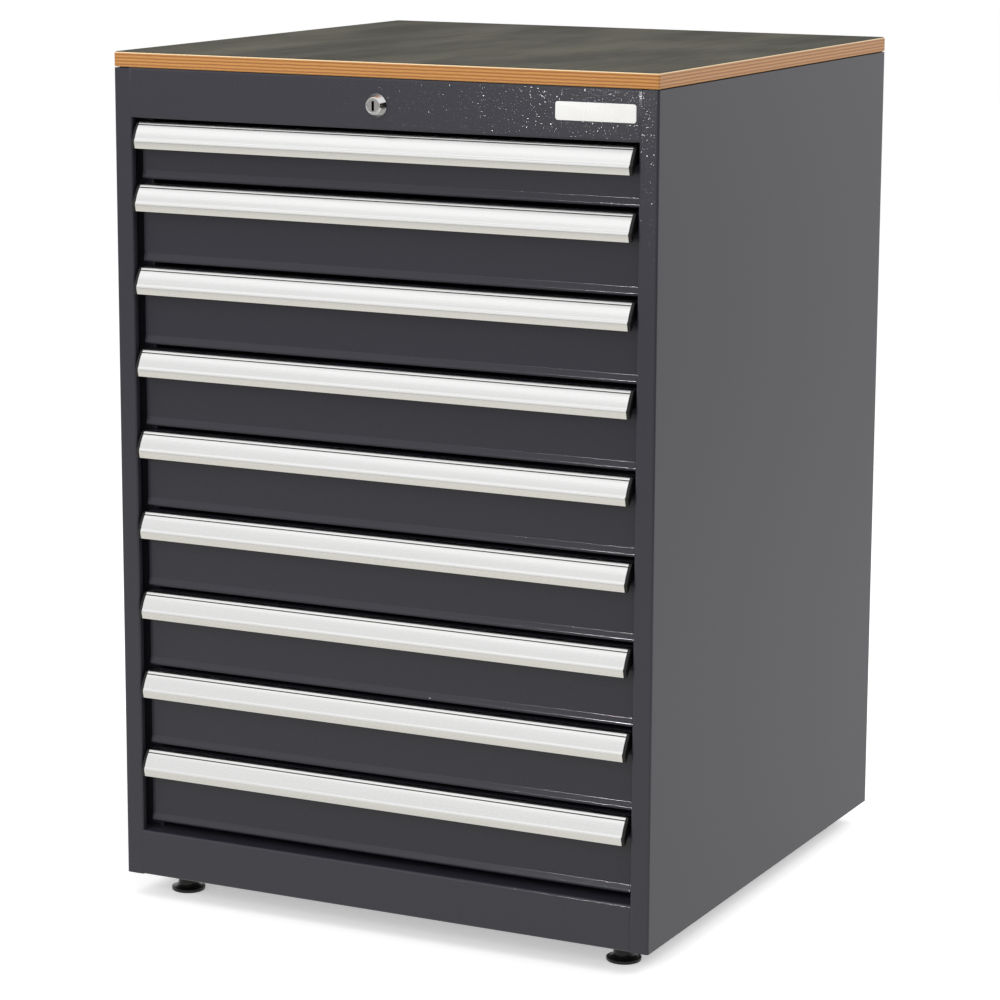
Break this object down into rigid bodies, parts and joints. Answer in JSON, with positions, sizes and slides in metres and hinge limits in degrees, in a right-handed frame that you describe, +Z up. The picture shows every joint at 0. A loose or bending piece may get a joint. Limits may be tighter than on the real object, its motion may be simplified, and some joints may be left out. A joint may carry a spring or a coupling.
{
  "type": "tool cabinet",
  "caption": "Upright steel drawer cabinet with full-width grip rails, a central lock, a plywood worktop and levelling feet.",
  "frame": {"origin": "on the floor, under the middle of the whole box, grip rails included", "axes": "+Z up, +X to the right seen from the front, the drawers open towards -Y"},
  "size_m": [0.71, 0.7289, 1.048],
  "materials": {
    "housing_paint": "fine-textured powder coat, dark grey",
    "drawer_paint": "fine-textured powder coat, dark grey",
    "aluminium": "satin anodised",
    "black_plastic": "moulded, matt",
    "zinc_steel": "zinc plated",
    "plywood": "lacquered plywood edge",
    "dark_film": "dark phenolic film with a faint grain",
    "chrome": "polished chrome"
  },
  "bodies": {
    "housing": {"side_panel_left": "housing_paint", "side_panel_right": "housing_paint", "rear_panel": "housing_paint", "top_panel": "housing_paint", "top_rail": "housing_paint", "base_panel": "housing_paint", "plinth": "housing_paint", "runner_posts": "housing_paint", "cabinet_rails_left": "zinc_steel", "cabinet_rails_right": "zinc_steel", "worktop_board": "plywood", "worktop_film": "dark_film", "worktop_screws": "zinc_steel", "lock_case": "chrome", "lock_nut": "zinc_steel", "lock_guides": "zinc_steel", "foot_nuts": "zinc_steel"},
    "drawer_1": {"drawer_1_tray": "drawer_paint", "drawer_1_handle": "aluminium", "drawer_1_end_caps": "black_plastic"},
    "runner_1": {"drawer_1_middle_rails": "zinc_steel"},
    "drawer_2": {"drawer_2_tray": "drawer_paint", "drawer_2_handle": "aluminium", "drawer_2_end_caps": "black_plastic"},
    "runner_2": {"drawer_2_middle_rails": "zinc_steel"},
    "drawer_3": {"drawer_3_tray": "drawer_paint", "drawer_3_handle": "aluminium", "drawer_3_end_caps": "black_plastic"},
    "runner_3": {"drawer_3_middle_rails": "zinc_steel"},
    "drawer_4": {"drawer_4_tray": "drawer_paint", "drawer_4_handle": "aluminium", "drawer_4_end_caps": "black_plastic"},
    "runner_4": {"drawer_4_middle_rails": "zinc_steel"},
    "drawer_5": {"drawer_5_tray": "drawer_paint", "drawer_5_handle": "aluminium", "drawer_5_end_caps": "black_plastic"},
    "runner_5": {"drawer_5_middle_rails": "zinc_steel"},
    "drawer_6": {"drawer_6_tray": "drawer_paint", "drawer_6_handle": "aluminium", "drawer_6_end_caps": "black_plastic"},
    "runner_6": {"drawer_6_middle_rails": "zinc_steel"},
    "drawer_7": {"drawer_7_tray": "drawer_paint", "drawer_7_handle": "aluminium", "drawer_7_end_caps": "black_plastic"},
    "runner_7": {"drawer_7_middle_rails": "zinc_steel"},
    "drawer_8": {"drawer_8_tray": "drawer_paint", "drawer_8_handle": "aluminium", "drawer_8_end_caps": "black_plastic"},
    "runner_8": {"drawer_8_middle_rails": "zinc_steel"},
    "drawer_9": {"drawer_9_tray": "drawer_paint", "drawer_9_handle": "aluminium", "drawer_9_end_caps": "black_plastic"},
    "runner_9": {"drawer_9_middle_rails": "zinc_steel"},
    "lock": {"lock_barrel": "chrome", "lock_shaft": "zinc_steel"},
    "lock_bar": {"lock_bar": "zinc_steel"},
    "foot_front_left": {"foot_front_left": "black_plastic"},
    "foot_front_right": {"foot_front_right": "black_plastic"},
    "foot_rear_left": {"foot_rear_left": "black_plastic"},
    "foot_rear_right": {"foot_rear_right": "black_plastic"}
  },
  "joints": [
    {"name": "drawer_1_slide", "type": "slide", "parent": "housing", "child": "drawer_1", "axis": [0, -1, 0], "range_m": [0, 0.596]},
    {"name": "runner_1_slide", "type": "slide", "parent": "housing", "child": "runner_1", "axis": [0, -1, 0], "range_m": [0, 0.298]},
    {"name": "drawer_2_slide", "type": "slide", "parent": "housing", "child": "drawer_2", "axis": [0, -1, 0], "range_m": [0, 0.596]},
    {"name": "runner_2_slide", "type": "slide", "parent": "housing", "child": "runner_2", "axis": [0, -1, 0], "range_m": [0, 0.298]},
    {"name": "drawer_3_slide", "type": "slide", "parent": "housing", "child": "drawer_3", "axis": [0, -1, 0], "range_m": [0, 0.596]},
    {"name": "runner_3_slide", "type": "slide", "parent": "housing", "child": "runner_3", "axis": [0, -1, 0], "range_m": [0, 0.298]},
    {"name": "drawer_4_slide", "type": "slide", "parent": "housing", "child": "drawer_4", "axis": [0, -1, 0], "range_m": [0, 0.596]},
    {"name": "runner_4_slide", "type": "slide", "parent": "housing", "child": "runner_4", "axis": [0, -1, 0], "range_m": [0, 0.298]},
    {"name": "drawer_5_slide", "type": "slide", "parent": "housing", "child": "drawer_5", "axis": [0, -1, 0], "range_m": [0, 0.596]},
    {"name": "runner_5_slide", "type": "slide", "parent": "housing", "child": "runner_5", "axis": [0, -1, 0], "range_m": [0, 0.298]},
    {"name": "drawer_6_slide", "type": "slide", "parent": "housing", "child": "drawer_6", "axis": [0, -1, 0], "range_m": [0, 0.596]},
    {"name": "runner_6_slide", "type": "slide", "parent": "housing", "child": "runner_6", "axis": [0, -1, 0], "range_m": [0, 0.298]},
    {"name": "drawer_7_slide", "type": "slide", "parent": "housing", "child": "drawer_7", "axis": [0, -1, 0], "range_m": [0, 0.596]},
    {"name": "runner_7_slide", "type": "slide", "parent": "housing", "child": "runner_7", "axis": [0, -1, 0], "range_m": [0, 0.298]},
    {"name": "drawer_8_slide", "type": "slide", "parent": "housing", "child": "drawer_8", "axis": [0, -1, 0], "range_m": [0, 0.596]},
    {"name": "runner_8_slide", "type": "slide", "parent": "housing", "child": "runner_8", "axis": [0, -1, 0], "range_m": [0, 0.298]},
    {"name": "drawer_9_slide", "type": "slide", "parent": "housing", "child": "drawer_9", "axis": [0, -1, 0], "range_m": [0, 0.596]},
    {"name": "runner_9_slide", "type": "slide", "parent": "housing", "child": "runner_9", "axis": [0, -1, 0], "range_m": [0, 0.298]},
    {"name": "lock_turn", "type": "hinge", "parent": "housing", "child": "lock", "pos_m": [0, -0.3555, 0.998], "axis": [0, 1, 0], "range_deg": [0, 90]},
    {"name": "lock_bar_drop", "type": "slide", "parent": "housing", "child": "lock_bar", "axis": [0, 0, -1], "range_m": [0, 0.014]},
    {"name": "foot_front_left_turn", "type": "hinge", "parent": "housing", "child": "foot_front_left", "pos_m": [-0.3, -0.3005, 0], "axis": [0, 0, 1], "continuous": true},
    {"name": "foot_front_right_turn", "type": "hinge", "parent": "housing", "child": "foot_front_right", "pos_m": [0.3, -0.3005, 0], "axis": [0, 0, 1], "continuous": true},
    {"name": "foot_rear_left_turn", "type": "hinge", "parent": "housing", "child": "foot_rear_left", "pos_m": [-0.3, 0.3095, 0], "axis": [0, 0, 1], "continuous": true},
    {"name": "foot_rear_right_turn", "type": "hinge", "parent": "housing", "child": "foot_rear_right", "pos_m": [0.3, 0.3095, 0], "axis": [0, 0, 1], "continuous": true}
  ],
  "couplings": [
    {"joint": "runner_1_slide", "follows": "drawer_1_slide", "ratio": 0.5},
    {"joint": "runner_2_slide", "follows": "drawer_2_slide", "ratio": 0.5},
    {"joint": "runner_3_slide", "follows": "drawer_3_slide", "ratio": 0.5},
    {"joint": "runner_4_slide", "follows": "drawer_4_slide", "ratio": 0.5},
    {"joint": "runner_5_slide", "follows": "drawer_5_slide", "ratio": 0.5},
    {"joint": "runner_6_slide", "follows": "drawer_6_slide", "ratio": 0.5},
    {"joint": "runner_7_slide", "follows": "drawer_7_slide", "ratio": 0.5},
    {"joint": "runner_8_slide", "follows": "drawer_8_slide", "ratio": 0.5},
    {"joint": "runner_9_slide", "follows": "drawer_9_slide", "ratio": 0.5},
    {"joint": "lock_turn", "follows": "lock_bar_drop", "rad_per_m": 111.11}
  ]
}
